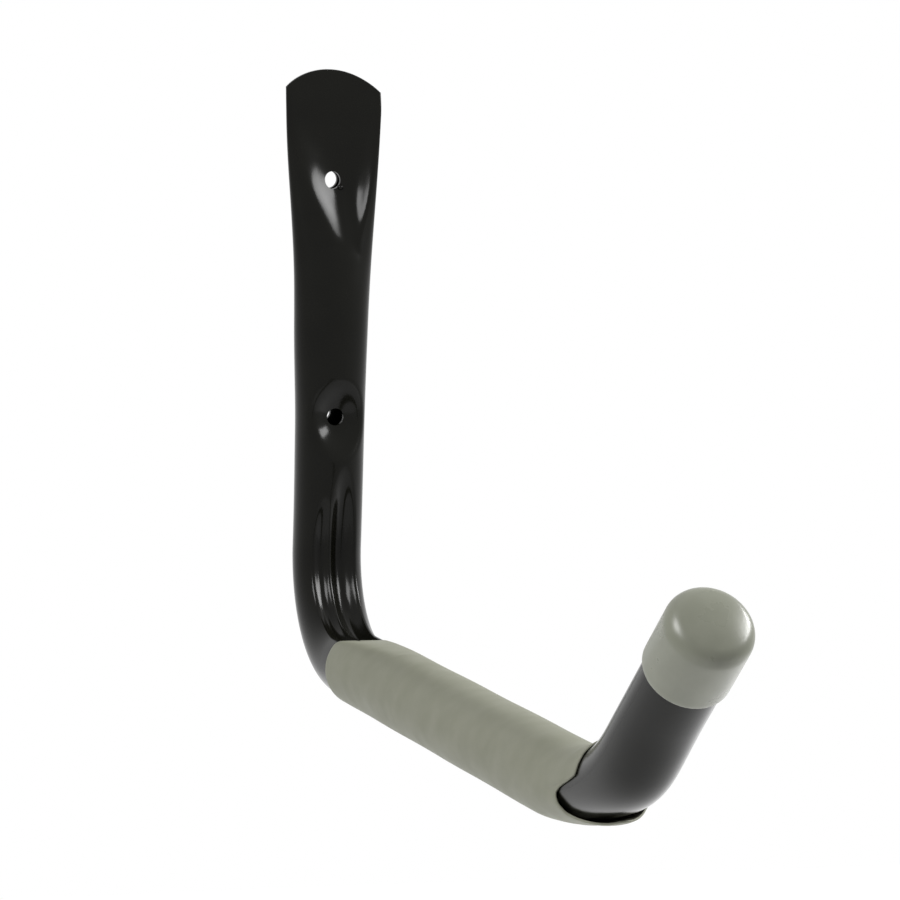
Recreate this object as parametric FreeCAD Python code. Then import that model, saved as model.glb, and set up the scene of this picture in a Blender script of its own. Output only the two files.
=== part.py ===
"""Garage utility hook, in millimetres.

One steel tube is pressed flat at its top end, bent forward into a long arm and bent up again at
the tip. A vinyl sleeve covers the arm and a dipped vinyl cap closes the tip.

The wall is the plane y = 0. The hook reaches out along -y, z is up, and the origin lies on the
wall, midway between the two screw holes. The press tools that shape the tube are solids: each one
dents the skin as it is, and the cavity with the tube's wall added round it.
"""
import FreeCAD
import Part
import math
import os

# Tube
TUBE_DIAMETER = 22.0
TUBE_WALL = 1.2

# Wall screws and the leg that they hold
HOLE_SPACING = 75.0
HOLE_DIAMETER = 5.5
TOP_MARGIN = 35.3
LOWER_HOLE_HEIGHT = 75.0

# Pressed top end, with its ends measured from the top and from the lower hole
END_ARC_RADIUS = 22.0
PRESS_TOP = 7.0
PRESS_ABOVE_HOLE = 30.3
TAPER_ABOVE_HOLE = 40.3
ROUND_ABOVE_HOLE = 8.0
TAPER_SHARE = 0.2
PRESS_GAP = 2.0
PRESS_STEP = 9.0
BOW_DEPTH = 2.0

# Dish in the front of the pressed end, with its ends measured from the upper hole
DISH_ABOVE_HOLE = 15.3
DISH_BELOW_HOLE = 21.7
DISH_RADIUS = 10.5
DISH_OVERLAP = 0.3

# Dimple that seats the lower screw's head
DIMPLE_DEPTH = 4.5
DIMPLE_RADIUS = 7.0

# Bends and straight runs, along the tube's axis
LEG_BEND_RADIUS = 33.0
ARM_REACH = 263.0
TIP_BEND_RADIUS = 75.0
TIP_RISE_DEG = 42.0
TIP_LENGTH = 84.8

# Twin grooves crushed into the inner side of the leg bend
CRUSH_DEPTH = 5.0
CRUSH_SPACING = 6.8
CRUSH_RADIUS = 4.2
CRUSH_LEAD_IN = 17.0
CRUSH_RUN_OUT = 60.0
CRUSH_OVERRUN_DEG = 8.0

# Arm sleeve, with its ends measured from the end of the leg bend and the start of the tip bend
SLEEVE_CLEARANCE = 0.25
SLEEVE_WALL = 0.85
SLEEVE_SETBACK = 8.0
SLEEVE_SAG = 2.7
SLEEVE_SAG_LENGTH = 40.0
SLEEVE_OVERRUN = 4.0
SLEEVE_END_DEG = 52.0

# End cap
CAP_CLEARANCE = 0.15
CAP_WALL = 1.05
CAP_COVER = 17.8
CAP_EDGE_RADIUS = 6.0
CAP_DOME_RADIUS = 28.0
CAP_EDGE_STEP = 0.33
CAP_DOME_STEP = 0.14

TUBE_RADIUS = TUBE_DIAMETER / 2.0
UPPER_HOLE_Z = HOLE_SPACING / 2.0
LOWER_HOLE_Z = -HOLE_SPACING / 2.0
TOP_Z = UPPER_HOLE_Z + TOP_MARGIN
ROUND_Z = LOWER_HOLE_Z + ROUND_ABOVE_HOLE
DISH_Z = UPPER_HOLE_Z + DISH_ABOVE_HOLE
DISH_POINT_Z = UPPER_HOLE_Z - DISH_BELOW_HOLE
ARM_Z = LOWER_HOLE_Z - LOWER_HOLE_HEIGHT
LEG_Y = -TUBE_RADIUS
BEND_Z = ARM_Z + LEG_BEND_RADIUS
TIP_RISE = math.radians(TIP_RISE_DEG)
TIP_TANGENT = TIP_BEND_RADIUS * math.tan(TIP_RISE / 2.0)
ARM_END = ARM_REACH - TIP_TANGENT
SLEEVE_START = LEG_BEND_RADIUS + SLEEVE_SETBACK
FAR = 2.0 * TUBE_DIAMETER
X_AXIS = FreeCAD.Vector(1, 0, 0)
Y_AXIS = FreeCAD.Vector(0, 1, 0)
Z_AXIS = FreeCAD.Vector(0, 0, 1)


def ease(value, start, end):
    """Smooth step that is 0 at start and 1 at end."""
    share = min(max((value - start) / (end - start), 0.0), 1.0)
    return share * share * (3.0 - 2.0 * share)


def spaced(start, end, step):
    """Evenly spaced values from start to end, about a step apart."""
    count = max(1, round(abs(end - start) / step))
    return [start + (end - start) * index / count for index in range(count + 1)]


def arc_radius(length, depth):
    """Radius of an arc that leaves its tangent by a depth after a length."""
    return (length ** 2 + depth ** 2) / (2.0 * depth)


def side_view(y, z):
    """Point in the plane of symmetry."""
    return FreeCAD.Vector(0, y, z)


def disc(radius, centre, normal):
    """Flat round face."""
    return Part.Face(Part.Wire(Part.makeCircle(radius, centre, normal)))


def arm_point(reach):
    """Point on the arm's axis at a distance in front of the leg's axis."""
    return side_view(LEG_Y - reach, ARM_Z)


def tip_axis():
    """Direction of the tip."""
    return side_view(-math.cos(TIP_RISE), math.sin(TIP_RISE))


def tip_point(along):
    """Point on the tip's axis at a distance from the corner of the arm and tip axes."""
    return arm_point(ARM_REACH) + tip_axis() * along


def press_at(z):
    """How far the leg is pressed at a height, from 0 to 1."""
    return ease(z, LOWER_HOLE_Z + PRESS_ABOVE_HOLE, TOP_Z - PRESS_TOP)


def half_thickness(z):
    """Half the thickness of the leg at a height."""
    taper = ease(z, ROUND_Z, LOWER_HOLE_Z + TAPER_ABOVE_HOLE)
    flatness = TAPER_SHARE * taper + (1.0 - TAPER_SHARE) * press_at(z)
    return TUBE_RADIUS - (TUBE_RADIUS - TUBE_WALL - PRESS_GAP / 2.0) * flatness


def flat_half_width(z):
    """Half the width of the leg's flat front, from the outline's length on the round tube."""
    return math.pi / 2.0 * (TUBE_RADIUS - half_thickness(z))


def pressed_wire(z, inset):
    """Outline of the pressed and bowed leg, moved inwards: front, side, back and side."""
    half = half_thickness(z)
    flat = flat_half_width(z)
    bow = BOW_DEPTH * press_at(z)
    corner_bow = bow * (flat / (flat + half)) ** 2
    front = inset - 2.0 * half
    edge = flat + half - inset

    def at(x, y):
        return FreeCAD.Vector(x, y, z)

    def across(start, middle, end):
        if corner_bow:
            return Part.Arc(start, middle, end).toShape()
        return Part.LineSegment(start, end).toShape()

    front_left, front_right = at(-flat, front - corner_bow), at(flat, front - corner_bow)
    back_left, back_right = at(-flat, -inset - corner_bow), at(flat, -inset - corner_bow)
    return Part.Wire([
        across(front_left, at(0, front), front_right),
        Part.Arc(front_right, at(edge, -half - bow), back_right).toShape(),
        across(back_right, at(0, -inset), back_left),
        Part.Arc(back_left, at(-edge, -half - bow), front_left).toShape(),
    ])


def round_wire(z, inset, split):
    """Outline of the round leg, split like the pressed one at an angle beside front and back."""
    radius = TUBE_RADIUS - inset
    centre = FreeCAD.Vector(0, LEG_Y, z)

    def at(angle):
        return centre + FreeCAD.Vector(math.sin(angle), -math.cos(angle), 0) * radius

    stops = [-split, split, math.pi - split, math.pi + split, 2.0 * math.pi - split]
    return Part.Wire([
        Part.Arc(at(start), at((start + end) / 2.0), at(end)).toShape()
        for start, end in zip(stops, stops[1:])
    ])


def pressed_leg(top, inset):
    """Leg from a height down to where it is round, in straight strips."""
    heights = spaced(top, LOWER_HOLE_Z + PRESS_ABOVE_HOLE, PRESS_STEP)
    split = math.asin(flat_half_width(heights[-1]) / TUBE_RADIUS)
    wires = [pressed_wire(z, inset) for z in heights]
    return Part.makeLoft(wires + [round_wire(ROUND_Z, inset, split)], True, True)


def arm_bar(radius, start):
    """Solid along the arm from a distance in front of the leg's axis, and round the tip bend."""
    arm = Part.makeCylinder(radius, ARM_END - start, arm_point(start), -Y_AXIS)
    end = disc(radius, arm_point(ARM_END), -Y_AXIS)
    return arm.fuse([end.revolve(arm_point(ARM_END) + Z_AXIS * TIP_BEND_RADIUS, -X_AXIS, TIP_RISE_DEG)])


def bar(top, inset, tip_end):
    """Whole tube as a solid: pressed leg, leg bend, arm, tip bend and tip."""
    radius = TUBE_RADIUS - inset
    leg = Part.makeCylinder(radius, ROUND_Z - BEND_Z, side_view(LEG_Y, BEND_Z), Z_AXIS)
    end = disc(radius, side_view(LEG_Y, BEND_Z), Z_AXIS)
    bend = end.revolve(side_view(LEG_Y - LEG_BEND_RADIUS, BEND_Z), -X_AXIS, 90.0)
    tip = Part.makeCylinder(radius, tip_end - TIP_TANGENT, tip_point(TIP_TANGENT), tip_axis())
    return pressed_leg(top, inset).fuse([leg, bend, arm_bar(radius, LEG_BEND_RADIUS), tip])


def dish_punch(grow):
    """Bar pressed into the front: upright at the top, curving forward to the dish's point."""
    back = DISH_OVERLAP - 2.0 * TUBE_WALL
    wheel = arc_radius(DISH_Z - DISH_POINT_Z, back + 2.0 * half_thickness(DISH_POINT_Z))
    end = disc(DISH_RADIUS + grow, side_view(back - DISH_RADIUS, DISH_Z), Z_AXIS)
    lower = end.revolve(side_view(back - wheel, DISH_Z), -X_AXIS, 90.0)
    return end.extrude(Z_AXIS * FAR).fuse([lower])


def dimple_punch(grow):
    """Ball pressed into the front at the lower hole."""
    y = DIMPLE_DEPTH - DIMPLE_RADIUS - 2.0 * half_thickness(LOWER_HOLE_Z)
    return Part.makeSphere(DIMPLE_RADIUS + grow, side_view(y, LOWER_HOLE_Z))


def crush_bar(x, grow):
    """Bent bar along one groove: in from the leg, round the bend and out over the arm."""
    centre = FreeCAD.Vector(x, LEG_Y - LEG_BEND_RADIUS, BEND_Z)
    reach = LEG_BEND_RADIUS - TUBE_RADIUS + CRUSH_DEPTH
    path = reach - CRUSH_RADIUS
    upper = disc(CRUSH_RADIUS + grow, centre + Y_AXIS * path, Z_AXIS)
    lower = disc(CRUSH_RADIUS + grow, centre - Z_AXIS * path, Y_AXIS)
    lead = arc_radius(CRUSH_LEAD_IN, CRUSH_DEPTH)
    run = arc_radius(CRUSH_RUN_OUT, CRUSH_DEPTH)
    lead_turn = math.degrees(math.asin(CRUSH_LEAD_IN / lead)) + CRUSH_OVERRUN_DEG
    run_turn = math.degrees(math.asin(CRUSH_RUN_OUT / run)) + CRUSH_OVERRUN_DEG
    lead_in = upper.revolve(centre + Y_AXIS * (reach - lead), X_AXIS, lead_turn)
    around = upper.revolve(centre, -X_AXIS, 90.0)
    run_out = lower.revolve(centre + Z_AXIS * (run - reach), -X_AXIS, run_turn)
    return around.fuse([lead_in, run_out])


def dents(grow):
    """Every tool that is pressed into the tube, standing out by grow."""
    grooves = [crush_bar(side * CRUSH_SPACING / 2.0, grow) for side in (-1, 1)]
    return [dish_punch(grow), dimple_punch(grow)] + grooves


def end_trim():
    """Everything above the arc that the top end is sheared to."""
    centre_z = TOP_Z - END_ARC_RADIUS
    keep = Part.makeCylinder(END_ARC_RADIUS, 2.0 * FAR, side_view(-FAR, centre_z), Y_AXIS)
    return Part.makeBox(2.0 * FAR, 2.0 * FAR, 2.0 * FAR, FreeCAD.Vector(-FAR, -FAR, centre_z)).cut(keep)


def screw_hole(z):
    """Drill through the leg, from in front of it to behind the wall plane."""
    return Part.makeCylinder(HOLE_DIAMETER / 2.0, 2.0 * FAR, side_view(-FAR, z), Y_AXIS)


def hook_tube():
    """Steel tube: pressed leg, crushed bend, arm, tip bend and open tip."""
    skin = bar(TOP_Z + TUBE_WALL, 0.0, TIP_LENGTH).cut(dents(0.0))
    cavity = bar(DISH_Z - TUBE_WALL, TUBE_WALL, TIP_LENGTH + TUBE_WALL).cut(dents(TUBE_WALL))
    tube = skin.cut([cavity, end_trim(), screw_hole(UPPER_HOLE_Z), screw_hole(LOWER_HOLE_Z)])
    return tube.removeSplitter()


def side_prism(outline):
    """Block across the whole width, from an outline of distances in front and heights over the arm."""
    points = [arm_point(reach) + Z_AXIS * up - X_AXIS * FAR for reach, up in outline]
    return Part.Face(Part.makePolygon(points + points[:1])).extrude(X_AXIS * 2.0 * FAR)


def sleeve_bar(outset):
    """Solid along the arm that stands out by outset and sags where the grooves run under it."""
    radius = TUBE_RADIUS + outset
    sag_end = SLEEVE_START + SLEEVE_SAG_LENGTH
    over = side_prism([(SLEEVE_START, radius - SLEEVE_SAG), (sag_end, radius), (SLEEVE_START, radius + FAR)])
    return arm_bar(radius, SLEEVE_START).cut(over)


def arm_sleeve():
    """Vinyl sleeve on the arm, cut off aslant where it follows the tip bend."""
    skin = sleeve_bar(SLEEVE_CLEARANCE + SLEEVE_WALL)
    height = TUBE_RADIUS + SLEEVE_CLEARANCE + SLEEVE_WALL
    slope = math.tan(math.radians(SLEEVE_END_DEG))
    top = ARM_END + SLEEVE_OVERRUN + slope * (height - FAR)
    bottom = ARM_END + SLEEVE_OVERRUN + slope * (height + FAR)
    beyond = side_prism([(top, FAR), (bottom + FAR, FAR), (bottom + FAR, -FAR), (bottom, -FAR)])
    return skin.cut([sleeve_bar(SLEEVE_CLEARANCE), beyond]).removeSplitter()


def dome_outline():
    """Half profile of the cap's top above the tube's end: rounded edge, then dome, in short steps."""
    radius = TUBE_RADIUS + CAP_CLEARANCE + CAP_WALL
    spread = radius - CAP_EDGE_RADIUS
    lean = math.asin(spread / (CAP_DOME_RADIUS - CAP_EDGE_RADIUS))
    dome_z = -(CAP_DOME_RADIUS - CAP_EDGE_RADIUS) * math.cos(lean)
    edge = [(spread, 0.0, CAP_EDGE_RADIUS, angle) for angle in spaced(math.pi / 2.0, lean, CAP_EDGE_STEP)]
    dome = [(0.0, dome_z, CAP_DOME_RADIUS, angle) for angle in spaced(lean, 0.0, CAP_DOME_STEP)]
    return [FreeCAD.Vector(x + size * math.sin(angle), 0, z + size * math.cos(angle))
            for x, z, size, angle in edge + dome[1:]]


def end_cap():
    """Dipped vinyl cap: a skirt round the tube and a domed top over its open end."""
    outline = dome_outline()
    foot = FreeCAD.Vector(0, 0, -CAP_COVER)
    corner = FreeCAD.Vector(outline[0].x, 0, -CAP_COVER)
    profile = Part.makePolygon([foot, corner] + outline + [foot])
    whole = Part.Face(profile).revolve(FreeCAD.Vector(0, 0, 0), Z_AXIS, 360.0)
    bore = Part.makeCylinder(TUBE_RADIUS + CAP_CLEARANCE, CAP_COVER + CAP_CLEARANCE, foot)
    cap = whole.cut(bore)
    cap.Placement = FreeCAD.Placement(tip_point(TIP_LENGTH), FreeCAD.Rotation(Z_AXIS, tip_axis()))
    return cap


def main():
    """Build every piece and write it out."""
    os.makedirs("parts", exist_ok=True)
    pieces = {"hook_tube": hook_tube(), "arm_sleeve": arm_sleeve(), "end_cap": end_cap()}
    for name, shape in pieces.items():
        print(name, shape.isValid(), len(shape.Solids), round(shape.Volume, 1), len(shape.Faces))
        shape.exportStep(f"parts/{name}.step")


main()
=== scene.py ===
"""Looks of a garage utility hook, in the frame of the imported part.

A black enamelled steel tube is pressed flat and dished at its top end, crushed where it bends
forward and bent up again at the tip. A thin vinyl sleeve covers its arm and a dipped vinyl cap
closes its tip. Sizes are in millimetres and meshes in metres.
"""
import logging
import math
from dataclasses import dataclass, field
from enum import Enum
from typing import Callable

import bpy
import numpy as np
from mathutils import Matrix, Vector


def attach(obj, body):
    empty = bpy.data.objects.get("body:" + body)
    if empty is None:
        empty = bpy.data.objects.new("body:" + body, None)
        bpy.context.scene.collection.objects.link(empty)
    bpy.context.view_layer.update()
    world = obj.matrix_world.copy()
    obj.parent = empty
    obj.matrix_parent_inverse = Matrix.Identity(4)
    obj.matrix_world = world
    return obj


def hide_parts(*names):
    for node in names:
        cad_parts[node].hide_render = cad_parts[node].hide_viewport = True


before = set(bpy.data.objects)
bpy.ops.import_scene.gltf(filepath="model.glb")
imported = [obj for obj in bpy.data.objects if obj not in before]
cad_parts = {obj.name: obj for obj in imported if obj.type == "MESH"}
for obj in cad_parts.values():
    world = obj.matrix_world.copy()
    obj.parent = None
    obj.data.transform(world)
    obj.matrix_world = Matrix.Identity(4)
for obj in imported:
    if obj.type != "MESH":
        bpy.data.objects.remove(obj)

MM = 0.001
NOWHERE = 99.0  # inward reach of a form that leaves the skin as it is
LEAST = 0.01  # stands for a width or depth of nothing
MERGE_DISTANCE_M = 2e-6
SHARP_EDGE_DEG = 60.0
SMOOTH_EDGE_DEG = 50.0
WHITE = (1.0, 1.0, 1.0, 1.0)
LOG = logging.getLogger("garage_hook")
Place = Callable[[np.ndarray, np.ndarray], np.ndarray]
Colour = tuple[float, float, float]
Spot = tuple[float, float, float]


class Slot(Enum):
    """Material slots of the record."""

    ENAMEL = "enamel"
    SLEEVE = "sleeve_vinyl"
    CAP = "cap_vinyl"


class Node(Enum):
    """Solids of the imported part."""

    TUBE = "hook_tube"
    SLEEVE = "arm_sleeve"
    CAP = "end_cap"


class Cut(Enum):
    """Ways to combine two forms."""

    ADD = "UNION"
    REMOVE = "DIFFERENCE"


def ease(value: np.ndarray, start: float, end: float) -> np.ndarray:
    """Smooth step that is 0 at start and 1 at end."""
    share = np.clip((value - start) / (end - start), 0.0, 1.0)
    return share * share * (3.0 - 2.0 * share)


def bell(value: np.ndarray, middle: float, reach: float) -> np.ndarray:
    """Smooth hump that is 1 at middle and 0 at a reach from it."""
    return 1.0 - ease(np.abs(value - middle), 0.0, reach)


def soft_min(first: np.ndarray, second: np.ndarray, blend: float) -> np.ndarray:
    """Lesser of two heights, with the crease between them rounded over a blend."""
    share = np.clip(0.5 + 0.5 * (second - first) / blend, 0.0, 1.0)
    return second + (first - second) * share - blend * share * (1.0 - share)


def root(value: np.ndarray) -> np.ndarray:
    """Square root that is 0 below 0."""
    return np.sqrt(np.maximum(value, 0.0))


def deselect() -> None:
    """Leave edit mode and select nothing."""
    if bpy.context.object and bpy.context.object.mode != "OBJECT":
        bpy.ops.object.mode_set(mode="OBJECT")
    bpy.ops.object.select_all(action="DESELECT")


def pick(piece: bpy.types.Object) -> None:
    """Make one piece the only one selected."""
    deselect()
    piece.select_set(True)
    bpy.context.view_layer.objects.active = piece


def rolled_sheet(name: str, around: int, along: int, place: Place) -> bpy.types.Object:
    """Add a grid and roll it into a closed skin.

    Args:
        name: Name of the new object.
        around: Faces round the skin.
        along: Faces along the skin.
        place: Gives the points, in millimetres, for shares round (-1 to 1) and along (0 to 1).

    Returns:
        The skin, open at its ends unless these come to a point.
    """
    deselect()
    bpy.ops.mesh.primitive_grid_add(x_subdivisions=around, y_subdivisions=along, size=2.0)
    piece = bpy.context.object
    piece.name = name
    mesh = piece.data
    mesh.name = name
    flat = np.empty(len(mesh.vertices) * 3)
    mesh.vertices.foreach_get("co", flat)
    grid = flat.reshape(-1, 3)
    points = place(grid[:, 0], (grid[:, 1] + 1.0) / 2.0) * MM
    mesh.vertices.foreach_set("co", points.ravel())
    mesh.update()
    bpy.ops.object.mode_set(mode="EDIT")
    bpy.ops.mesh.select_all(action="SELECT")
    bpy.ops.mesh.remove_doubles(threshold=MERGE_DISTANCE_M)
    bpy.ops.mesh.normals_make_consistent(inside=False)
    bpy.ops.object.mode_set(mode="OBJECT")
    return piece


def round_edges(width: float, segments: int) -> None:
    """Round the sharp edges of the mesh in edit mode, over a width in millimetres."""
    bpy.ops.mesh.select_mode(type="EDGE")
    bpy.ops.mesh.select_all(action="DESELECT")
    bpy.ops.mesh.edges_select_sharp(sharpness=math.radians(SHARP_EDGE_DEG))
    bpy.ops.mesh.bevel(offset=width * MM, segments=segments, affect="EDGES")


def fill_ends(piece: bpy.types.Object, edge: float) -> None:
    """Close the open ends of a skin and round the edges there.

    Args:
        piece: The skin.
        edge: Width of the rounded edge, in millimetres, or 0 for a sharp one.
    """
    pick(piece)
    bpy.ops.object.mode_set(mode="EDIT")
    bpy.ops.mesh.select_all(action="SELECT")
    bpy.ops.mesh.fill_holes(sides=0)
    bpy.ops.mesh.select_all(action="SELECT")
    bpy.ops.mesh.normals_make_consistent(inside=False)
    if edge:
        round_edges(edge, segments=3)
    bpy.ops.object.mode_set(mode="OBJECT")


def finish_mesh(piece: bpy.types.Object) -> None:
    """Shade a piece smooth, except over its sharp edges."""
    pick(piece)
    bpy.ops.object.shade_smooth_by_angle(angle=math.radians(SMOOTH_EDGE_DEG))


def combine(piece: bpy.types.Object, tool: bpy.types.Object, cut: Cut) -> None:
    """Add a tool's form to a piece or take it away, and remove the tool.

    Args:
        piece: The piece that changes.
        tool: The form.
        cut: What is done with it.
    """
    step = piece.modifiers.new("combine", "BOOLEAN")
    step.operation = cut.value
    step.solver = "MANIFOLD"
    step.object = tool
    pick(piece)
    bpy.ops.object.modifier_apply(modifier=step.name)
    mesh = tool.data
    bpy.data.objects.remove(tool)
    bpy.data.meshes.remove(mesh)


def dress(piece: bpy.types.Object, material: bpy.types.Material, node: Node) -> None:
    """Give a piece its finish and let it stand for a solid of the part.

    Args:
        piece: The finished piece.
        material: Its finish.
        node: The solid it stands for.
    """
    piece.data.materials.clear()
    piece.data.materials.append(material)
    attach(piece, "root")
    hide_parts(node.value)
    LOG.info("%s: %d faces, stands for %s", piece.name, len(piece.data.polygons), node.value)


@dataclass
class TubeRun:
    """Axis of the bent tube, measured along from its top end."""

    radius: float = 11.0
    top_z: float = 72.8
    arm_z: float = -112.5
    leg_bend: float = 33.0
    arm_reach: float = 263.0
    tip_bend: float = 75.0
    tip_rise_deg: float = 42.0
    tip_length: float = 84.8
    # Outer side of the tip bend, at distances past the bend's start
    tip_drawn: float = 2.2
    tip_drawn_at: float = 18.0
    tip_drawn_reach: float = 32.0
    tip_pushed: float = 1.1
    tip_pushed_at: float = 52.0
    tip_pushed_reach: float = 24.0

    def __post_init__(self) -> None:
        """Work out where each run starts."""
        self.tip_rise = math.radians(self.tip_rise_deg)
        self.tip_tangent = self.tip_bend * math.tan(self.tip_rise / 2.0)
        self.bend_z = self.arm_z + self.leg_bend
        self.arm_end = self.arm_reach - self.tip_tangent
        self.at_bend = self.top_z - self.bend_z
        self.at_arm = self.at_bend + self.leg_bend * math.pi / 2.0
        self.at_tip_bend = self.at_arm + self.arm_end - self.leg_bend
        self.at_tip = self.at_tip_bend + self.tip_bend * self.tip_rise
        self.at_end = self.at_tip + self.tip_length - self.tip_tangent

    def flattening(self, along: np.ndarray, inward: np.ndarray) -> np.ndarray:
        """How far the outer side of the tip bend is drawn in, or pushed out past its middle."""
        past = along - self.at_tip_bend
        drawn = self.tip_drawn * bell(past, self.tip_drawn_at, self.tip_drawn_reach)
        pushed = self.tip_pushed * bell(past, self.tip_pushed_at, self.tip_pushed_reach)
        return (drawn - pushed) * np.clip(-inward / self.radius, 0.0, 1.0)

    def place(self, along: np.ndarray, x: np.ndarray, inward: np.ndarray) -> np.ndarray:
        """Points at distances along the axis, across it and towards the inner side of the bends.

        Args:
            along: Distances from the top end.
            x: Distances across.
            inward: Distances from the axis towards the front of the leg and the top of the arm.

        Returns:
            One row of x, y and z a point.
        """
        turn = np.clip((along - self.at_bend) / self.leg_bend, 0.0, math.pi / 2.0)
        rise = np.clip((along - self.at_tip_bend) / self.tip_bend, 0.0, self.tip_rise)
        bend = self.leg_bend - inward
        tip = self.tip_bend - inward
        down = np.minimum(along, self.at_bend)
        out = np.clip(along - self.at_arm, 0.0, self.arm_end - self.leg_bend)
        up = np.maximum(along - self.at_tip, 0.0)
        on_leg = along <= self.at_arm
        leg_y = -self.radius - self.leg_bend + bend * np.cos(turn)
        leg_z = self.top_z - down - bend * np.sin(turn)
        arm_y = (-self.radius - self.leg_bend - out - tip * np.sin(rise)
                 - up * math.cos(self.tip_rise))
        arm_z = self.arm_z + self.tip_bend - tip * np.cos(rise) + up * math.sin(self.tip_rise)
        y = np.where(on_leg, leg_y, arm_y)
        z = np.where(on_leg, leg_z, arm_z)
        return np.column_stack([x, y, z])


@dataclass(frozen=True)
class Groove:
    """One groove crushed into the inner side of the leg bend."""

    middle: float
    half_width: float
    depth: float
    lead: float
    fade: float


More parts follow.
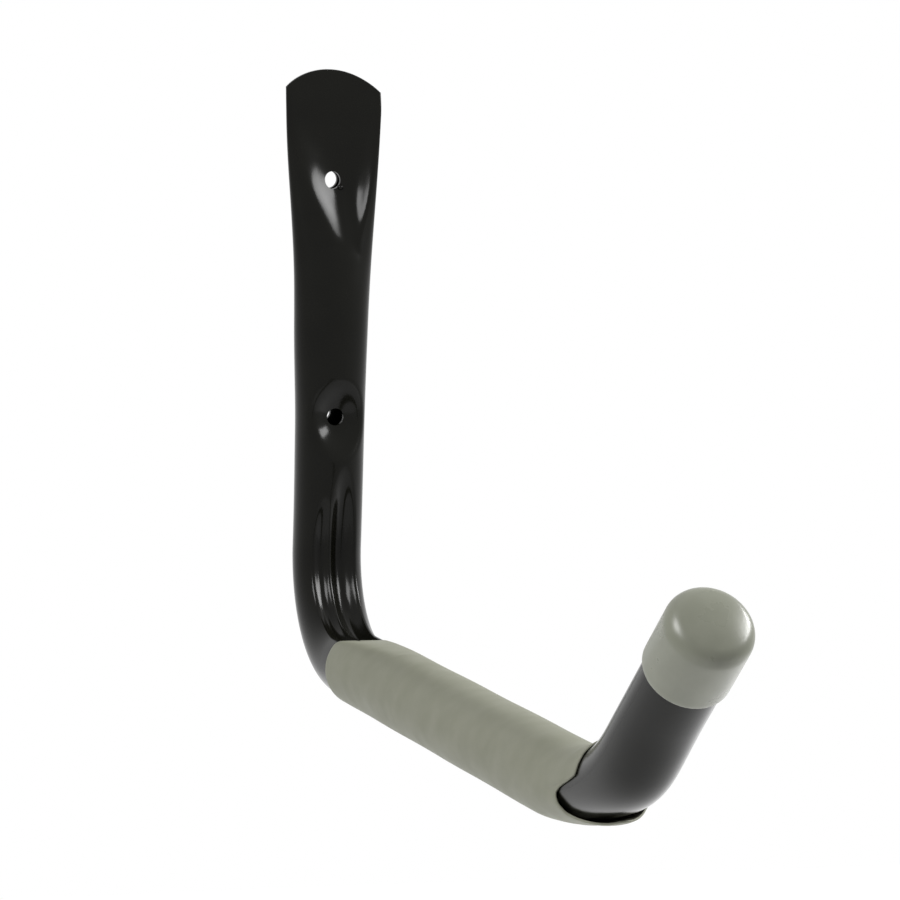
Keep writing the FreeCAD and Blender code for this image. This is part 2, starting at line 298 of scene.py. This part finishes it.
@dataclass
class HookTube:
    """Steel tube with its pressed end, dish, screw holes and crushed bend."""

    run: TubeRun
    wall: float = 1.2
    # Screw holes
    upper_hole_z: float = 37.5
    lower_hole_z: float = -37.5
    hole_radius: float = 2.75
    drill_length: float = 80.0
    drill_sides: int = 64
    # Rounded-off upper end
    end_arc: float = 22.0
    end_arc_fade: float = 20.0
    end_tilt: float = 0.042
    end_drop: float = 0.15
    end_edge: float = 0.35
    # Pressing, from the round leg to the flat and bowed end
    press_low_z: float = -7.2
    press_high_z: float = 65.8
    taper_z: float = 2.8
    round_z: float = -42.0
    taper_share: float = 0.2
    press_gap: float = 2.0
    bow: float = 3.3
    left_bow: float = 1.0
    edge_draw: float = 0.03
    squareness: float = 0.8
    # V-shaped dish with two unlike flanks
    dish_left_z: float = 15.0
    dish_right_z: float = 8.5
    dish_left_spread: float = 0.52
    dish_right_spread: float = 0.44
    dish_left_width: float = 15.5
    dish_right_width: float = 14.0
    dish_width_blend: float = 8.0
    dish_aside: float = 1.2
    dish_skew: float = 0.06
    dish_centred_z: tuple[float, float] = (40.0, 66.0)
    dish_left_power: float = 1.35
    dish_right_power: float = 3.0
    dish_top_z: tuple[float, float] = (44.0, 58.0)
    dish_top_left_power: float = 3.0
    dish_top_right_power: float = 3.5
    dish_reach: float = 3.0
    dish_blend: float = 2.0
    # Floor of the dish, and the ramp at its lower end
    dish_floor: float = 3.6
    dish_slope: float = 0.6
    dish_left_ramp_z: float = 35.4
    dish_right_ramp_z: float = 33.0
    dish_ramp_turn: float = 9.0
    dish_ramp_blend: float = 6.0
    # Rolling back of the front towards the upper end
    roll_share: float = 0.68
    roll_length: float = 13.8
    roll_power: float = 1.5
    # Dimple at the lower hole
    dimple_depth: float = 6.6
    dimple_radius: float = 11.0
    dimple_blend: float = 4.6
    # Crushed inner side of the leg bend
    grooves: tuple[Groove, ...] = (
        Groove(middle=-4.6, half_width=3.6, depth=3.6, lead=16.0, fade=60.0),
        Groove(middle=2.4, half_width=5.2, depth=4.8, lead=24.0, fade=60.0),
    )
    groove_blend: float = 2.2
    # Slight shift and widening of the leg
    leg_shift: float = -0.4
    leg_widening: float = 0.02
    leg_shift_z: float = -18.75
    leg_shift_reach: float = 56.25
    # Drop of enamel at the upper hole
    burr_place: Spot = (2.6, -5.2, 35.2)
    burr_radius: float = 1.0
    # Rings of points, closer at the top, at the leg bend and at the tip bend
    skin_around: int = 144
    cavity_around: int = 48
    cavity_coarseness: float = 4.0
    cavity_top_z: float = 43.0
    cavity_end: float = 3.0
    top_zone: float = 30.0
    bend_zone: float = 45.0
    tip_zone: float = 6.0
    ring_steps: tuple[float, ...] = (0.7, 0.9, 0.75, 4.0, 1.5, 4.0)

    def half_thickness(self, z: np.ndarray) -> np.ndarray:
        """Half the thickness of the leg at heights."""
        taper = ease(z, self.round_z, self.taper_z)
        flatness = self.taper_share * taper + (1.0 - self.taper_share) * self.press(z)
        return self.run.radius - (self.run.radius - self.wall - self.press_gap / 2.0) * flatness

    def press(self, z: np.ndarray) -> np.ndarray:
        """How far the leg is pressed at heights, from 0 to 1."""
        return ease(z, self.press_low_z, self.press_high_z)

    def section(self, share: np.ndarray, z: np.ndarray,
                inset: float) -> tuple[np.ndarray, np.ndarray]:
        """Outline of the pressed leg, with the length of the round tube's.

        Args:
            share: Places round the outline, from -1 at the back over 0 at the front to 1.
            z: Heights.
            inset: Distance inside the skin.

        Returns:
            Distances across and distances inward from the axis.
        """
        half = self.half_thickness(z)
        press = self.press(z)
        edge = half + math.pi / 2.0 * (self.run.radius - half)
        power = 2.0 / (2.0 + self.squareness * press ** 2)
        angle = share * math.pi
        x = np.sign(share) * np.abs(np.sin(angle)) ** power
        front = np.sign(np.cos(angle)) * np.abs(np.cos(angle)) ** power
        across = x * (edge * (1.0 - self.edge_draw * press) - inset)
        lift = np.where(x < 0.0, self.left_bow, self.bow) * press * x ** 2
        return across, half + (half - inset) * front + lift - self.run.radius

    def dish(self, x: np.ndarray, z: np.ndarray, grow: float) -> np.ndarray:
        """Inward reach that the dish leaves at places on the leg.

        Args:
            x: Distances across.
            z: Heights.
            grow: Distance by which the dish stands off, for the cavity behind it.

        Returns:
            Distances inward from the axis.
        """
        half = self.half_thickness(z)
        centred = 1.0 - ease(z, *self.dish_centred_z)
        middle = (self.dish_aside + self.dish_skew * (self.upper_hole_z - z)) * centred
        turn = ease(x - middle, 0.0, self.dish_ramp_turn)
        ramp_z = self.dish_left_ramp_z + (self.dish_right_ramp_z - self.dish_left_ramp_z) * turn
        below = ramp_z - z
        ramp = (below + np.hypot(below, self.dish_ramp_blend)) / 2.0
        floor = self.dish_floor + self.dish_slope * ramp
        left = x < middle
        width = np.where(left, self.dish_left_spread * (z - self.dish_left_z),
                         self.dish_right_spread * (z - self.dish_right_z))
        widest = np.where(left, self.dish_left_width, self.dish_right_width)
        width = soft_min(np.maximum(width, LEAST), widest, self.dish_width_blend)
        edge = half + math.pi / 2.0 * (self.run.radius - half)
        bow = np.where(left, self.left_bow, self.bow)
        depth = 2.0 * half + bow * self.press(z) * (width / edge) ** 2 - floor
        away = np.minimum(np.abs(x - middle) / np.maximum(width, LEAST), self.dish_reach)
        low_power = np.where(left, self.dish_left_power, self.dish_right_power)
        top_power = np.where(left, self.dish_top_left_power, self.dish_top_right_power)
        power = low_power + (top_power - low_power) * ease(z, *self.dish_top_z)
        reach = floor + np.maximum(depth, LEAST) * away ** power - grow - self.run.radius
        lowest = min(self.dish_left_z, self.dish_right_z)
        return np.where(z <= lowest, NOWHERE, reach)

    def dimple(self, x: np.ndarray, z: np.ndarray, grow: float) -> np.ndarray:
        """Inward reach that the dimple at the lower hole leaves at places on the leg."""
        away = x ** 2 + (z - self.lower_hole_z) ** 2
        return self.run.radius - self.dimple_depth * (1.0 - away / self.dimple_radius ** 2) - grow

    def crush(self, along: np.ndarray, x: np.ndarray, groove: Groove, grow: float) -> np.ndarray:
        """Inward reach that one groove of the leg bend leaves at places along the tube.

        Args:
            along: Distances along the tube.
            x: Distances across.
            groove: The groove.
            grow: Distance by which the groove stands off, for the cavity behind it.

        Returns:
            Distances inward from the axis.
        """
        before = np.maximum(self.run.at_bend - along, 0.0) / groove.lead
        after = np.maximum(along - self.run.at_arm, 0.0) / groove.fade
        aside = (x - groove.middle) / groove.half_width
        share = 1.0 - before ** 2 - after ** 2 - aside ** 2
        return self.run.radius - groove.depth * share - grow

    def stations(self, fine: bool) -> np.ndarray:
        """Distances along the tube at which it has a ring of points."""
        run = self.run
        step = 1.0 if fine else self.cavity_coarseness
        stops = [0.0, self.top_zone, run.at_bend - self.bend_zone, run.at_arm + self.bend_zone,
                 run.at_tip_bend - self.tip_zone, run.at_tip + self.tip_zone, run.at_end]
        runs = []
        for start, end, size in zip(stops, stops[1:], self.ring_steps):
            count = max(2, round((end - start) / (size * step)))
            runs.append(np.linspace(start, end, count, endpoint=False))
        return np.append(np.concatenate(runs), run.at_end)

    def points(self, share: np.ndarray, along: np.ndarray, inset: float) -> np.ndarray:
        """Points of the skin, or of the cavity.

        Args:
            share: Places round the tube, from -1 at the back over 0 at the front to 1.
            along: Distances along the tube.
            inset: Distance inside the skin.

        Returns:
            One row of x, y and z a point.
        """
        x, inward = self.section(share, self.run.top_z - along, inset)
        low = bell(self.run.top_z - along, self.leg_shift_z, self.leg_shift_reach)
        x = x * (1.0 + self.leg_widening * low) + self.leg_shift * low
        if not inset:
            trim = np.maximum(1.0 - along / self.end_arc_fade, 0.0) ** 2
            drop = self.end_arc - root(self.end_arc ** 2 - x ** 2)
            drop = drop + self.end_tilt * x + self.end_drop
            along = along + trim * drop
        z = self.run.top_z - along
        on_leg = along < self.run.at_bend
        dish = np.where(on_leg, self.dish(x, z, inset), NOWHERE)
        dimple = np.where(on_leg, self.dimple(x, z, inset), NOWHERE)
        inward = soft_min(inward, dish, self.dish_blend)
        inward = soft_min(inward, dimple, self.dimple_blend)
        roll = np.clip(1.0 - along / self.roll_length, 0.0, 1.0) ** self.roll_power
        inward = (inward + self.run.radius) * (1.0 - self.roll_share * roll) - self.run.radius
        for groove in self.grooves:
            inward = soft_min(inward, self.crush(along, x, groove, inset), self.groove_blend)
        return self.run.place(along, x, inward + self.run.flattening(along, inward))

    def skin(self, stations: np.ndarray, inset: float) -> Place:
        """Placing of the skin, or of the cavity, for a rolled sheet.

        Args:
            stations: Distances along the tube of the rings.
            inset: Distance inside the skin.

        Returns:
            The placing, for shares round and along. The first ring of the skin is folded flat,
            which closes the upper end.
        """
        def place(share: np.ndarray, way: np.ndarray) -> np.ndarray:
            """Points on the rings, for shares round and along."""
            along = stations[np.rint(way * (len(stations) - 1)).astype(int)]
            points = self.points(share, along, inset)
            if inset:
                return points
            opposite = self.points(np.where(share < 0.0, -1.0, 1.0) - share, along, inset)
            return np.where((way <= 0.0)[:, None], (points + opposite) / 2.0, points)

        return place

    def drill(self, z: float) -> bpy.types.Object:
        """Drill for one screw hole, through both walls of the leg."""
        deselect()
        bpy.ops.mesh.primitive_cylinder_add(
            vertices=self.drill_sides, radius=self.hole_radius * MM,
            depth=self.drill_length * MM, location=(0.0, 0.0, z * MM),
            rotation=(math.pi / 2.0, 0.0, 0.0))
        return bpy.context.object

    def burr(self) -> bpy.types.Object:
        """Drop of enamel on the rim of the upper hole."""
        deselect()
        x, y, z = self.burr_place
        bpy.ops.mesh.primitive_ico_sphere_add(subdivisions=3, radius=self.burr_radius * MM,
                                              location=(x * MM, y * MM, z * MM))
        return bpy.context.object

    def build(self, material: bpy.types.Material) -> bpy.types.Object:
        """Make the skin, and cut the cavity and the screw holes out of it together."""
        rings = np.insert(self.stations(True), 0, 0.0)
        tube = rolled_sheet("tube_skin", self.skin_around, len(rings) - 1, self.skin(rings, 0.0))
        fill_ends(tube, self.end_edge)
        inner = self.stations(False)
        first = self.run.top_z - self.cavity_top_z
        last = self.run.at_end - self.cavity_end
        inner = inner[(inner > first) & (inner < last)]
        cavity = rolled_sheet("tube_cavity", self.cavity_around, len(inner) - 1,
                              self.skin(inner, self.wall))
        fill_ends(cavity, 0.0)
        for z in (self.upper_hole_z, self.lower_hole_z):
            combine(cavity, self.drill(z), Cut.ADD)
        combine(tube, cavity, Cut.REMOVE)
        combine(tube, self.burr(), Cut.ADD)
        finish_mesh(tube)
        dress(tube, material, Node.TUBE)
        return tube


@dataclass
class ArmSleeve:
    """Thin vinyl sleeve on the arm, sagging at the leg bend and cut aslant on the tip bend."""

    run: TubeRun
    inner_radius: float = 11.5
    wall: float = 0.6
    rim_edge: float = 0.22
    start: float = 41.0
    # Sag over the grooves at the leg end
    sag: float = 3.5
    sag_length: float = 46.0
    sag_power: float = 1.5
    sag_blend: float = 1.6
    # Rim of the far mouth: angles from the top over the left side, and distances past the
    # start of the tip bend
    mouth_angles: tuple[float, ...] = (
        0, 60, 79, 81, 83, 87, 93, 100, 112, 130, 143,
        155, 165, 172, 178, 186, 200, 230, 270, 300, 330, 360)
    mouth_ends: tuple[float, ...] = (
        34, 33, 31.5, 29.5, 23, 18.6, 16.5, 16.5, 17.3, 18.6, 21.2,
        24.8, 28.7, 31.5, 33.5, 33.5, 32, 28, 25, 28, 32, 34)
    # Underside near the mouth, which rises with the bend and drops again
    mouth_lift: float = 2.1
    lift_zone: tuple[float, float] = (-15.0, 12.0)
    mouth_drop: float = 1.4
    drop_zone: tuple[float, float] = (18.0, 33.0)
    # Rim, which flares below and grips the tube above
    mouth_flare: float = 0.5
    flare_rise: float = 3.0
    mouth_grip: float = 0.42
    grip_offset: float = 0.8
    grip_rise: float = 2.0
    rim_share: float = 0.94
    # Shallow ripples along the sleeve
    ripple: float = 0.12
    ripple_pitch: float = 0.11
    ripple_sway: float = 2.0
    ripple_zone: tuple[float, float] = (4.0, 30.0)
    around: int = 180
    along: int = 150

    def mouth(self, angle: np.ndarray) -> np.ndarray:
        """Distances along the tube at which lines of the sleeve end, notched low on the left side.

        Args:
            angle: Angles of the lines from the top of the arm, towards the right.

        Returns:
            One distance a line.
        """
        turn = np.degrees(-angle) % 360.0
        return self.run.at_tip_bend + np.interp(turn, self.mouth_angles, self.mouth_ends)

    def place(self, share: np.ndarray, way: np.ndarray) -> np.ndarray:
        """Points of the outer skin for shares round and along."""
        radius = self.inner_radius + self.wall
        angle = share * math.pi
        first = self.run.at_arm + self.start - self.run.leg_bend
        along = first + (self.mouth(angle) - first) * way
        x = radius * np.sin(angle)
        up = radius * np.cos(angle)
        out = along - first
        roof = radius - self.sag * np.maximum(1.0 - out / self.sag_length, 0.0) ** self.sag_power
        up = soft_min(up, np.where(out < self.sag_length, roof, NOWHERE), self.sag_blend)
        wave = 0.5 + 0.5 * np.sin(out * self.ripple_pitch + self.ripple_sway * np.sin(angle))
        shrink = 1.0 - self.ripple / radius * wave * ease(out, *self.ripple_zone)
        past = along - self.run.at_tip_bend
        lift = self.mouth_lift * ease(past, *self.lift_zone)
        lift = lift - self.mouth_drop * ease(past, *self.drop_zone)
        low = np.clip(-up / radius, 0.0, 1.0)
        grip = np.clip(self.grip_offset + self.grip_rise * np.cos(angle), 0.0, 1.0)
        flare = self.mouth_flare * np.clip(-self.flare_rise * np.cos(angle), 0.0, 1.0)
        flare = flare - self.mouth_grip * grip
        shrink = shrink + flare * ease(way, self.rim_share, 1.0) / radius
        return self.run.place(along, x * shrink, up * shrink + lift * low)

    def build(self, material: bpy.types.Material) -> bpy.types.Object:
        """Roll the outer skin and give it its wall."""
        sleeve = rolled_sheet("arm_sleeve_skin", self.around, self.along, self.place)
        wall = sleeve.modifiers.new("wall", "SOLIDIFY")
        wall.thickness = self.wall * MM
        wall.offset = -1.0
        pick(sleeve)
        bpy.ops.object.modifier_apply(modifier=wall.name)
        bpy.ops.object.mode_set(mode="EDIT")
        round_edges(self.rim_edge, segments=2)
        bpy.ops.object.mode_set(mode="OBJECT")
        finish_mesh(sleeve)
        dress(sleeve, material, Node.SLEEVE)
        return sleeve


@dataclass
class EndCap:
    """Dipped vinyl cap over the open tip."""

    run: TubeRun
    bore_radius: float = 11.15
    wall: float = 1.05
    cover: float = 17.8
    edge_radius: float = 5.2
    dome_radius: float = 29.0
    crown: float = 0.29
    lip: float = 0.5
    # Closed end of the bore, past and before the tube's end
    floor_z: float = 0.15
    corner: float = 0.6
    corner_z: float = -0.4
    bore_z: float = -4.0
    # Points along each run of the profile, and round it
    bore_points: int = 6
    lip_points: int = 9
    skirt_points: int = 14
    edge_points: int = 14
    dome_points: int = 8
    around: int = 96

    def outline(self) -> np.ndarray:
        """Half profile from the bore's middle over the lip and the skirt to the dome's middle.

        Returns:
            One row a point: distance from the axis, and distance past the tube's end.
        """
        radius = self.bore_radius + self.wall
        spread = radius - self.edge_radius
        lean = math.asin(spread / (self.dome_radius - self.edge_radius))
        dome_z = -(self.dome_radius - self.edge_radius) * math.cos(lean)
        lip_z = self.lip - self.cover
        points = [(0.0, self.floor_z), (self.bore_radius - self.corner, self.floor_z),
                  (self.bore_radius, self.corner_z)]
        for z in np.linspace(self.bore_z, lip_z, self.bore_points):
            points.append((self.bore_radius, z))
        for turn in np.linspace(0.0, math.pi, self.lip_points)[1:]:
            points.append((radius - self.wall / 2.0 - math.cos(turn) * self.wall / 2.0,
                           lip_z - math.sin(turn) * self.lip))
        for z in np.linspace(lip_z, self.crown, self.skirt_points)[1:]:
            points.append((radius, z))
        for turn in np.linspace(math.pi / 2.0, lean, self.edge_points)[1:]:
            points.append((spread + self.edge_radius * math.sin(turn),
                           self.crown + self.edge_radius * math.cos(turn)))
        for turn in np.linspace(lean, 0.0, self.dome_points)[1:]:
            points.append((self.dome_radius * math.sin(turn),
                           self.crown + dome_z + self.dome_radius * math.cos(turn)))
        return np.array(points)

    def build(self, material: bpy.types.Material) -> bpy.types.Object:
        """Turn the profile round the tip's axis."""
        outline = self.outline()

        def place(share: np.ndarray, way: np.ndarray) -> np.ndarray:
            """Points of the turned profile, for shares round and along."""
            spot = outline[np.rint(way * (len(outline) - 1)).astype(int)]
            angle = share * math.pi
            return self.run.place(self.run.at_end + spot[:, 1], spot[:, 0] * np.sin(angle),
                                  spot[:, 0] * np.cos(angle))

        cap = rolled_sheet("end_cap_skin", self.around, len(outline) - 1, place)
        finish_mesh(cap)
        dress(cap, material, Node.CAP)
        return cap


class Effects:
    """Shader node groups that the finishes share."""

    NOISE_SPAN = (0.3, 0.7)
    DEFAULTS = {"Scale": 100.0, "Low": 0.0, "High": 1.0}

    def __init__(self) -> None:
        """Build each group once."""
        self.mottle = self.noise_group("mottle", "Mask", detail=4.0)
        self.grain = self.noise_group("grain", "Height", detail=2.0)

    @staticmethod
    def noise_group(name: str, output: str, detail: float) -> bpy.types.NodeTree:
        """Group that puts out a noise between two limits.

        Args:
            name: Name of the group.
            output: Name of its output.
            detail: Detail of the noise.

        Returns:
            The group, with inputs Scale, Low and High.
        """
        group = bpy.data.node_groups.new(name, "ShaderNodeTree")
        kind = "NodeSocketFloat"
        for label, value in Effects.DEFAULTS.items():
            socket = group.interface.new_socket(label, in_out="INPUT", socket_type=kind)
            socket.default_value = value
        group.interface.new_socket(output, in_out="OUTPUT", socket_type=kind)
        entry = group.nodes.new("NodeGroupInput")
        leave = group.nodes.new("NodeGroupOutput")
        where = group.nodes.new("ShaderNodeTexCoord")
        noise = group.nodes.new("ShaderNodeTexNoise")
        noise.inputs["Detail"].default_value = detail
        limits = group.nodes.new("ShaderNodeMapRange")
        limits.inputs["From Min"].default_value = Effects.NOISE_SPAN[0]
        limits.inputs["From Max"].default_value = Effects.NOISE_SPAN[1]
        group.links.new(where.outputs["Object"], noise.inputs["Vector"])
        group.links.new(entry.outputs["Scale"], noise.inputs["Scale"])
        group.links.new(noise.outputs["Fac"], limits.inputs["Value"])
        group.links.new(entry.outputs["Low"], limits.inputs["To Min"])
        group.links.new(entry.outputs["High"], limits.inputs["To Max"])
        group.links.new(limits.outputs["Result"], leave.inputs[output])
        return group


@dataclass(frozen=True)
class Finish:
    """One painted or moulded finish."""

    name: str
    dark: Colour
    light: Colour
    mottle_scale: float
    rough_low: float
    rough_high: float
    rough_scale: float
    grain_scale: float
    grain_height: float
    specular: float
    coat: float
    coat_rough: float

    def material(self, effects: Effects) -> bpy.types.Material:
        """Build the finish as a material.

        Args:
            effects: The shared node groups.

        Returns:
            The material.
        """
        material = bpy.data.materials.new(self.name)
        material.use_nodes = True
        tree = material.node_tree
        shader = tree.nodes["Principled BSDF"]
        shader.inputs["Specular IOR Level"].default_value = self.specular
        shader.inputs["Coat Weight"].default_value = self.coat
        shader.inputs["Coat Roughness"].default_value = self.coat_rough
        mottle = self.effect(tree, effects.mottle, self.mottle_scale, 0.0, 1.0)
        mix = tree.nodes.new("ShaderNodeMix")
        mix.data_type = "RGBA"
        mix.inputs["A"].default_value = (*self.dark, 1.0)
        mix.inputs["B"].default_value = (*self.light, 1.0)
        tree.links.new(mottle.outputs["Mask"], mix.inputs["Factor"])
        tree.links.new(mix.outputs["Result"], shader.inputs["Base Color"])
        rough = self.effect(tree, effects.mottle, self.rough_scale, self.rough_low, self.rough_high)
        tree.links.new(rough.outputs["Mask"], shader.inputs["Roughness"])
        grain = self.effect(tree, effects.grain, self.grain_scale, 0.0, 1.0)
        bump = tree.nodes.new("ShaderNodeBump")
        bump.inputs["Strength"].default_value = 1.0
        bump.inputs["Distance"].default_value = self.grain_height * MM
        tree.links.new(grain.outputs["Height"], bump.inputs["Height"])
        tree.links.new(bump.outputs["Normal"], shader.inputs["Normal"])
        return material

    @staticmethod
    def effect(tree: bpy.types.NodeTree, group: bpy.types.NodeTree, scale: float, low: float,
               high: float) -> bpy.types.Node:
        """Place a shared group in a material with its own values.

        Args:
            tree: Nodes of the material.
            group: The shared group.
            scale: Scale of the noise.
            low: Least value put out.
            high: Greatest value put out.

        Returns:
            The placed node.
        """
        node = tree.nodes.new("ShaderNodeGroup")
        node.node_tree = group
        node.inputs["Scale"].default_value = scale
        node.inputs["Low"].default_value = low
        node.inputs["High"].default_value = high
        return node


BLACK_ENAMEL = Finish(
    name="black_enamel",
    dark=(0.0026, 0.0026, 0.0016), light=(0.0044, 0.0044, 0.003), mottle_scale=45.0,
    rough_low=0.16, rough_high=0.21, rough_scale=60.0,
    grain_scale=420.0, grain_height=0.003,
    specular=0.13, coat=0.0, coat_rough=0.1)
SLEEVE_VINYL = Finish(
    name="sleeve_grey_vinyl",
    dark=(0.181, 0.185, 0.139), light=(0.202, 0.206, 0.158), mottle_scale=120.0,
    rough_low=0.52, rough_high=0.62, rough_scale=90.0,
    grain_scale=1800.0, grain_height=0.012,
    specular=0.3, coat=0.0, coat_rough=0.3)
CAP_VINYL = Finish(
    name="cap_grey_vinyl",
    dark=(0.184, 0.191, 0.149), light=(0.203, 0.21, 0.166), mottle_scale=140.0,
    rough_low=0.26, rough_high=0.34, rough_scale=110.0,
    grain_scale=900.0, grain_height=0.004,
    specular=0.4, coat=0.0, coat_rough=0.2)


@dataclass
class Softbox:
    """One soft studio lamp."""

    name: str
    place: Spot
    aim: Spot
    width: float
    height: float
    power: float

    def build(self) -> None:
        """Add the lamp, turned to its aim."""
        lamp = bpy.data.lights.new(self.name, "AREA")
        lamp.shape = "RECTANGLE"
        lamp.size = self.width
        lamp.size_y = self.height
        lamp.energy = self.power
        holder = bpy.data.objects.new(self.name, lamp)
        holder.location = self.place
        way = Vector(self.aim) - Vector(self.place)
        holder.rotation_euler = way.to_track_quat("-Z", "Y").to_euler()
        bpy.context.scene.collection.objects.link(holder)


@dataclass
class Studio:
    """Pale floor, white surround, lamps and camera, in metres."""

    floor_z: float = -0.42
    floor_size: float = 2.0
    floor_shade: float = 0.88
    floor_rough: float = 0.9
    floor_glow: float = 0.6
    surround: float = 0.1
    lens: float = 181.12
    sensor: float = 36.0
    camera_place: Spot = (-0.4297, -1.3882, 0.1192)
    camera_azimuth_deg: float = -18.86
    camera_elevation_deg: float = 6.59
    camera_roll_deg: float = 1.92
    lamps: list[Softbox] = field(default_factory=lambda: [
        Softbox("left_softbox", place=(-1.058, -0.576, 0.908), aim=(0.0, -0.12, 0.0),
                width=0.6, height=0.63, power=20.0),
        Softbox("right_softbox", place=(1.213, -0.29, 0.679), aim=(0.0, -0.12, 0.0),
                width=1.0, height=0.45, power=28.0),
        Softbox("top_softbox", place=(0.0, 0.25, 1.5), aim=(0.0, -0.15, -0.05),
                width=1.0, height=1.0, power=1.0),
    ])

    @staticmethod
    def white_to_sight(tree: bpy.types.NodeTree) -> bpy.types.NodeSocket:
        """Mask that is 1 for rays of the camera, of gloss and of glass."""
        path = tree.nodes.new("ShaderNodeLightPath")
        first = tree.nodes.new("ShaderNodeMath")
        second = tree.nodes.new("ShaderNodeMath")
        first.operation = second.operation = "ADD"
        second.use_clamp = True
        tree.links.new(path.outputs["Is Camera Ray"], first.inputs[0])
        tree.links.new(path.outputs["Is Glossy Ray"], first.inputs[1])
        tree.links.new(first.outputs[0], second.inputs[0])
        tree.links.new(path.outputs["Is Transmission Ray"], second.inputs[1])
        return second.outputs[0]

    def add_world(self) -> None:
        """Set a surround that looks white and lights the object plainly."""
        world = bpy.data.worlds.new("surround")
        bpy.context.scene.world = world
        world.use_nodes = True
        tree = world.node_tree
        plain = tree.nodes["Background"]
        plain.inputs["Color"].default_value = WHITE
        plain.inputs["Strength"].default_value = self.surround
        white = tree.nodes.new("ShaderNodeBackground")
        white.inputs["Color"].default_value = WHITE
        mix = tree.nodes.new("ShaderNodeMixShader")
        tree.links.new(self.white_to_sight(tree), mix.inputs["Fac"])
        tree.links.new(plain.outputs[0], mix.inputs[1])
        tree.links.new(white.outputs[0], mix.inputs[2])
        tree.links.new(mix.outputs[0], tree.nodes["World Output"].inputs["Surface"])

    def add_floor(self) -> None:
        """Add a pale floor under the hook that keeps its shadow."""
        deselect()
        bpy.ops.mesh.primitive_plane_add(size=self.floor_size, location=(0.0, 0.0, self.floor_z))
        floor = bpy.context.object
        floor.name = "floor"
        material = bpy.data.materials.new("pale_floor")
        material.use_nodes = True
        tree = material.node_tree
        shader = tree.nodes["Principled BSDF"]
        shade = self.floor_shade
        shader.inputs["Base Color"].default_value = (shade, shade, shade, 1.0)
        shader.inputs["Roughness"].default_value = self.floor_rough
        glow = tree.nodes.new("ShaderNodeEmission")
        share = tree.nodes.new("ShaderNodeMath")
        share.operation = "MULTIPLY"
        share.inputs[1].default_value = self.floor_glow
        both = tree.nodes.new("ShaderNodeAddShader")
        tree.links.new(self.white_to_sight(tree), share.inputs[0])
        tree.links.new(share.outputs[0], glow.inputs["Strength"])
        tree.links.new(shader.outputs[0], both.inputs[0])
        tree.links.new(glow.outputs[0], both.inputs[1])
        tree.links.new(both.outputs[0], tree.nodes["Material Output"].inputs["Surface"])
        floor.data.materials.append(material)

    def add_camera(self) -> None:
        """Stand the camera at the photograph's place."""
        azimuth, elevation, roll = (math.radians(turn) for turn in (
            self.camera_azimuth_deg, self.camera_elevation_deg, self.camera_roll_deg))
        right = Vector((math.cos(azimuth), math.sin(azimuth), 0.0))
        level = math.cos(elevation)
        back = Vector((math.sin(azimuth) * level, -math.cos(azimuth) * level,
                       math.sin(elevation)))
        up = back.cross(right)
        across = right * math.cos(roll) + up * math.sin(roll)
        upward = up * math.cos(roll) - right * math.sin(roll)
        lens = bpy.data.cameras.new("camera")
        lens.lens = self.lens
        lens.sensor_width = self.sensor
        camera = bpy.data.objects.new("camera", lens)
        turn = Matrix((across, upward, back)).transposed().to_4x4()
        camera.matrix_world = Matrix.Translation(self.camera_place) @ turn
        bpy.context.scene.collection.objects.link(camera)
        bpy.context.scene.camera = camera

    def build(self) -> None:
        """Set up everything round the hook."""
        self.add_world()
        self.add_floor()
        for lamp in self.lamps:
            lamp.build()
        self.add_camera()
        bpy.context.scene.view_settings.view_transform = "Standard"


def main() -> None:
    """Build and dress the hook, then the studio."""
    logging.basicConfig(level=logging.INFO)
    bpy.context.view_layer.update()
    run = TubeRun()
    effects = Effects()
    HookTube(run).build(BLACK_ENAMEL.material(effects))
    ArmSleeve(run).build(SLEEVE_VINYL.material(effects))
    EndCap(run).build(CAP_VINYL.material(effects))
    Studio().build()


if __name__ == "__main__":
    main()
